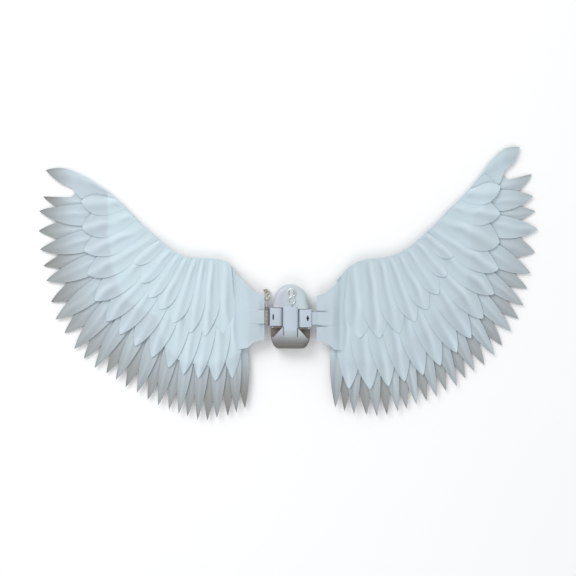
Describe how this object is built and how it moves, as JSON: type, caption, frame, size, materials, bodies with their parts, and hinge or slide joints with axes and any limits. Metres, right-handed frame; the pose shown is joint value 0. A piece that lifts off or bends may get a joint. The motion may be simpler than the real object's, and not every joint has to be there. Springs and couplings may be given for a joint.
{
  "type": "costume angel wings",
  "caption": "Pair of white layered feather wings on tongues in two hinged blocks of a motor housing, lying spread on its back, with small hooks.",
  "frame": {"origin": "middle of the housing's flat back face, which lies on the wearer's back or on the ground", "axes": "+Z away from the back face towards the front cover, +Y towards the wearer's head and the upper feather tips, +X towards the right wing of the picture"},
  "size_m": [1.0526, 0.5741, 0.0423],
  "materials": {
    "housing_plastic": "satin white moulded plastic",
    "dark_plastic": "dark matte moulded plastic",
    "white_sheet": "soft matte white sheet",
    "sleeve_cloth": "white sewn cloth",
    "tongue_metal": "worn grey-brown metal",
    "hook_metal": "bright small metal"
  },
  "bodies": {
    "housing": {"back_shell": "housing_plastic", "front_cover": "housing_plastic", "front_band": "housing_plastic", "front_hook": "hook_metal", "pin_left": "tongue_metal", "pin_right": "tongue_metal"},
    "left_wing": {"block_left": "housing_plastic", "tongue_left": "tongue_metal", "collar_left": "dark_plastic", "side_link": "hook_metal", "side_hook": "tongue_metal", "sleeve_left": "sleeve_cloth", "backing_left": "white_sheet", "outer_feathers_left_1": "white_sheet", "outer_feathers_left_2": "white_sheet", "outer_feathers_left_3": "white_sheet", "outer_feathers_left_4": "white_sheet", "outer_feathers_left_5": "white_sheet", "outer_feathers_left_6": "white_sheet", "outer_feathers_left_7": "white_sheet", "middle_feathers_left_1": "white_sheet", "middle_feathers_left_2": "white_sheet", "middle_feathers_left_3": "white_sheet", "inner_feathers_left_1": "white_sheet", "inner_feathers_left_2": "white_sheet"},
    "right_wing": {"block_right": "housing_plastic", "tongue_right": "housing_plastic", "sleeve_right": "sleeve_cloth", "backing_right": "white_sheet", "outer_feathers_right_1": "white_sheet", "outer_feathers_right_2": "white_sheet", "outer_feathers_right_3": "white_sheet", "outer_feathers_right_4": "white_sheet", "outer_feathers_right_5": "white_sheet", "outer_feathers_right_6": "white_sheet", "outer_feathers_right_7": "white_sheet", "middle_feathers_right_1": "white_sheet", "middle_feathers_right_2": "white_sheet", "middle_feathers_right_3": "white_sheet", "inner_feathers_right_1": "white_sheet", "inner_feathers_right_2": "white_sheet"}
  },
  "joints": [
    {"name": "left_wing_hinge", "type": "hinge", "parent": "housing", "child": "left_wing", "pos_m": [-0.025, -0.001, 0.03], "axis": [0, 1, 0], "range_deg": [0, 80]},
    {"name": "right_wing_hinge", "type": "hinge", "parent": "housing", "child": "right_wing", "pos_m": [0.025, -0.004, 0.03], "axis": [0, -1, 0], "range_deg": [0, 80]}
  ]
}
